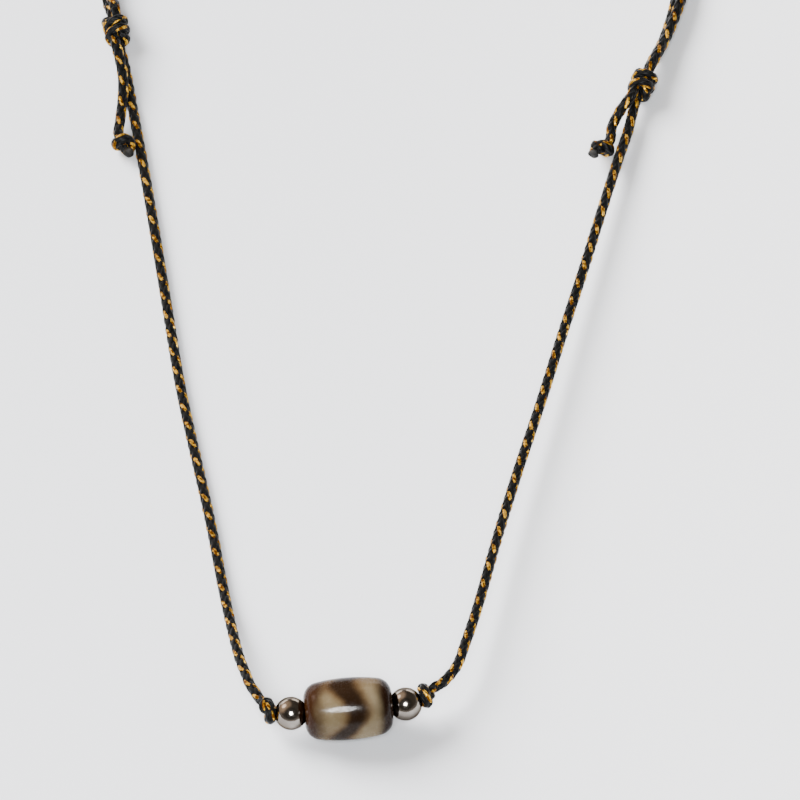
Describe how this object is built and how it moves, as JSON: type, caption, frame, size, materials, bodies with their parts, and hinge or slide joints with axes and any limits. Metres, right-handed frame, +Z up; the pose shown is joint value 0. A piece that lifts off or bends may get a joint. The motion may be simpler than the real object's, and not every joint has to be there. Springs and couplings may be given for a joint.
{
  "type": "dzi bead necklace",
  "caption": "Necklace: a barrel agate bead with a zigzag marking between polished silver beads, on a braided cord with sliding knots.",
  "frame": {"origin": "on the surface that the necklace lies on, under the middle of the agate bead", "axes": "+X along the agate bead's hole, towards the silver bead on the picture's right; +Y from the bead towards the back of the neck; +Z up from the surface"},
  "size_m": [0.0972, 0.1998, 0.01],
  "materials": {
    "agate": "polished, banded greige and dark brown",
    "silver": "polished silver",
    "cord": "round braid of black nylon with flecks of gold foil yarn"
  },
  "bodies": {
    "root": {"dzi_bead": "agate", "spacer_bead_left": "silver", "spacer_bead_right": "silver", "cord_through_beads": "cord", "end_knot_left": "cord", "end_knot_right": "cord", "cord_arm_left": "cord", "cord_arm_right": "cord", "sliding_knot_left": "cord", "sliding_knot_right": "cord", "cord_back_inner": "cord", "cord_back_outer": "cord", "cord_tail_left": "cord", "cord_tail_right": "cord", "tail_knot_left": "cord", "tail_knot_right": "cord"}
  },
  "joints": []
}
